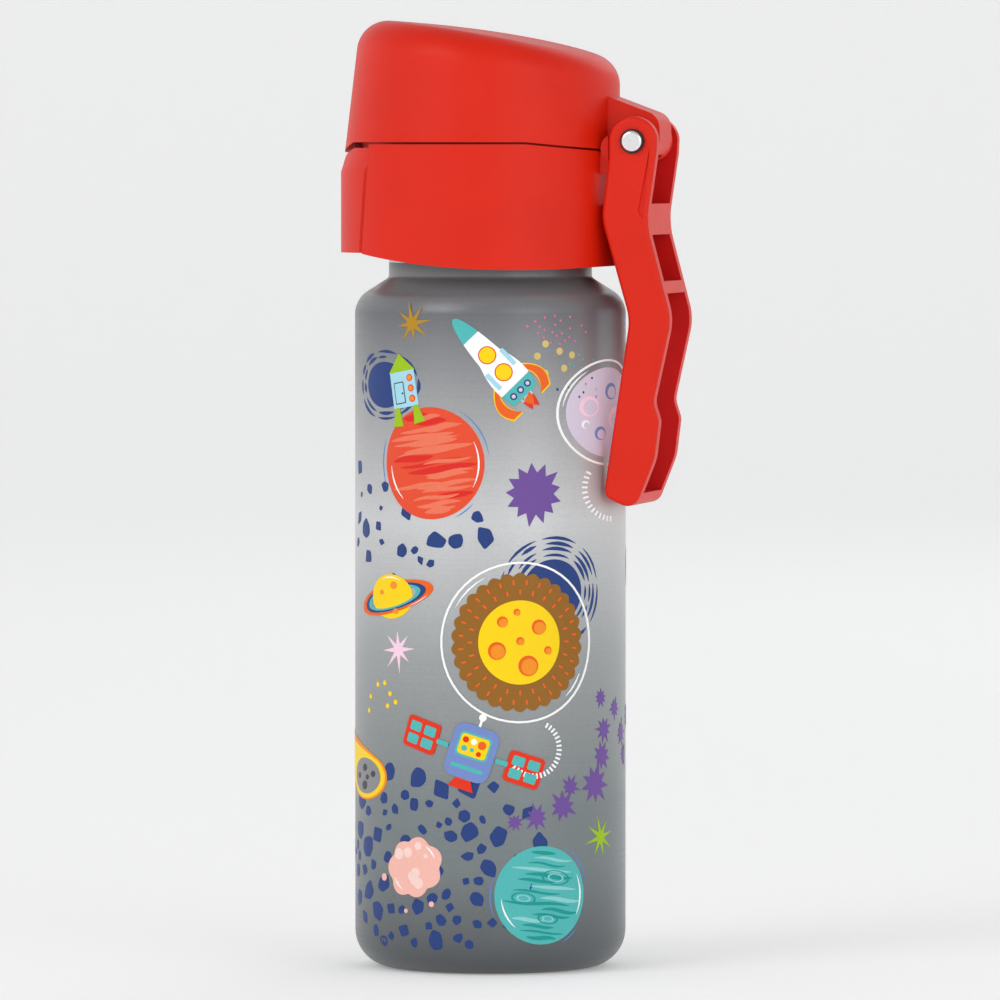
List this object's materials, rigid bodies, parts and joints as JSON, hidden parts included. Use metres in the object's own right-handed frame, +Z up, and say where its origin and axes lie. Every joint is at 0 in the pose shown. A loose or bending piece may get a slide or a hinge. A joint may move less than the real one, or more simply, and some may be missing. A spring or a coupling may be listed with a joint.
{
  "type": "water bottle",
  "caption": "Child's single-wall steel drinking bottle with a screw-on lid, a push-button flip cover over a soft spout, and a swinging carry handle.",
  "frame": {"origin": "centre of the foot ring, on the surface that the bottle stands on", "axes": "+Z up along the bottle, -X towards the push button, +X towards the hinge and the handle"},
  "size_m": [0.0824, 0.067, 0.2271],
  "materials": {
    "steel_body": "satin grey lacquer over stainless steel, shaded from dark to light, with a printed space pattern",
    "red_moulding": "red polypropylene, satin gloss",
    "inner_moulding": "natural white polypropylene",
    "clear_silicone": "milky silicone",
    "spout_silicone": "soft matt silicone",
    "pin_steel": "polished stainless",
    "spring_steel": "drawn wire",
    "black_washer": "black nylon"
  },
  "bodies": {
    "bottle": {"bottle_shell": "steel_body", "bottle_base": "steel_body"},
    "seal": {"neck_gasket": "clear_silicone"},
    "lid": {"lid_collar": "red_moulding", "lid_insert": "inner_moulding", "drinking_spout": "spout_silicone", "vent_valve": "clear_silicone", "button_pin": "spring_steel", "button_spring": "spring_steel", "hinge_pin": "pin_steel", "hinge_pin_cap": "pin_steel", "hinge_washers": "black_washer", "hinge_spring": "spring_steel"},
    "button": {"push_button": "red_moulding"},
    "cover": {"flip_cover": "red_moulding", "plug_holder": "inner_moulding", "seal_plug": "spout_silicone"},
    "handle": {"carry_handle": "red_moulding"}
  },
  "joints": [
    {"name": "lid_lift", "type": "slide", "parent": "bottle", "child": "seal", "axis": [0, 0, 1], "range_m": [0, 0.0161]},
    {"name": "lid_turn", "type": "hinge", "parent": "seal", "child": "lid", "pos_m": [0, 0, 0.182], "axis": [0, 0, 1], "range_deg": [0, 1440]},
    {"name": "cover_hinge", "type": "hinge", "parent": "lid", "child": "cover", "pos_m": [0.03764, 0, 0.19811], "axis": [0, 1, 0], "range_deg": [0, 100], "deforming": ["hinge_spring"]},
    {"name": "button_hinge", "type": "hinge", "parent": "lid", "child": "button", "pos_m": [-0.02951, 0, 0.17501], "axis": [0, 1, 0], "range_deg": [0, 4], "stiffness_Nm_per_rad": 0.5, "deforming": ["button_spring"]},
    {"name": "handle_hinge", "type": "hinge", "parent": "lid", "child": "handle", "pos_m": [0.03764, 0, 0.19811], "axis": [0, -1, 0], "range_deg": [0, 85]}
  ],
  "couplings": [
    {"joint": "lid_lift", "follows": "lid_turn", "m_per_rad": 0.00063662}
  ]
}
